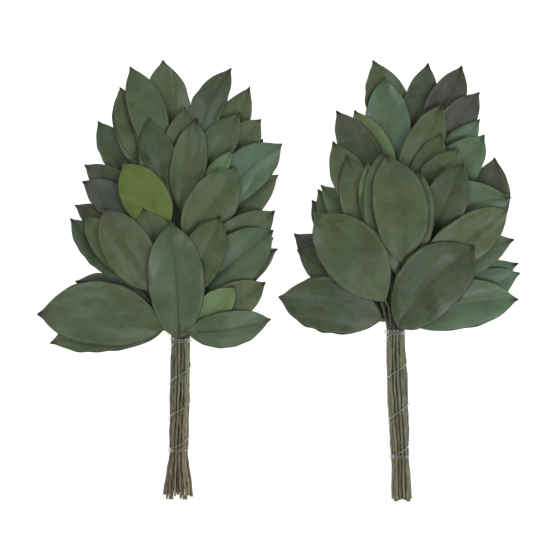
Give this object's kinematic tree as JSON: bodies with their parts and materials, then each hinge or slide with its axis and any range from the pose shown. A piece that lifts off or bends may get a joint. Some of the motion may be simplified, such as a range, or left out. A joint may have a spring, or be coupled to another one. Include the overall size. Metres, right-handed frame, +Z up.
{
  "type": "pair of preserved leafy branches",
  "caption": "Pair of flat bunches of preserved evergreen sprigs with overlapping pointed leaves, each tied with clear thread round its bare stems.",
  "frame": {"origin": "middle of the pair's outline seen from above, at the height of the surface that it lies on", "axes": "+Z up, +Y towards the leaf tips, -Y towards the cut ends of the stems, +X to the right-hand bunch"},
  "size_m": [0.3054, 0.279, 0.0268],
  "materials": {
    "clear_thread": "gloss",
    "leaf_blue": "satin",
    "leaf_brown": "satin",
    "leaf_deep": "satin",
    "leaf_mid": "satin",
    "leaf_olive": "satin",
    "leaf_pale": "satin",
    "leaf_slate": "satin",
    "leaf_teal": "satin"
  },
  "bodies": {
    "root": {"left_sprig_01": "leaf_mid", "left_sprig_02": "leaf_mid", "left_sprig_03": "leaf_deep", "left_sprig_04": "leaf_mid", "left_sprig_05": "leaf_olive", "left_sprig_06": "leaf_mid", "left_sprig_07": "leaf_mid", "left_sprig_08": "leaf_mid", "left_sprig_09": "leaf_teal", "left_sprig_10": "leaf_blue", "left_sprig_11": "leaf_slate", "left_sprig_12": "leaf_deep", "left_sprig_13": "leaf_mid", "left_sprig_14": "leaf_mid", "left_sprig_15": "leaf_mid", "left_sprig_16": "leaf_olive", "left_sprig_17": "leaf_olive", "left_sprig_18": "leaf_slate", "left_sprig_19": "leaf_blue", "left_sprig_20": "leaf_mid", "left_sprig_21": "leaf_mid", "left_sprig_22": "leaf_pale", "left_sprig_23": "leaf_blue", "left_sprig_24": "leaf_blue", "left_thread": "clear_thread", "right_sprig_01": "leaf_olive", "right_sprig_02": "leaf_brown", "right_sprig_03": "leaf_teal", "right_sprig_04": "leaf_brown", "right_sprig_05": "leaf_mid", "right_sprig_06": "leaf_teal", "right_sprig_07": "leaf_pale", "right_sprig_08": "leaf_olive", "right_sprig_09": "leaf_teal", "right_sprig_10": "leaf_deep", "right_sprig_11": "leaf_olive", "right_sprig_12": "leaf_pale", "right_sprig_13": "leaf_olive", "right_sprig_14": "leaf_olive", "right_sprig_15": "leaf_deep", "right_sprig_16": "leaf_deep", "right_sprig_17": "leaf_mid", "right_sprig_18": "leaf_mid", "right_sprig_19": "leaf_teal", "right_sprig_20": "leaf_mid", "right_sprig_21": "leaf_teal", "right_sprig_22": "leaf_mid", "right_sprig_23": "leaf_mid", "right_sprig_24": "leaf_deep", "right_thread": "clear_thread"}
  },
  "joints": []
}
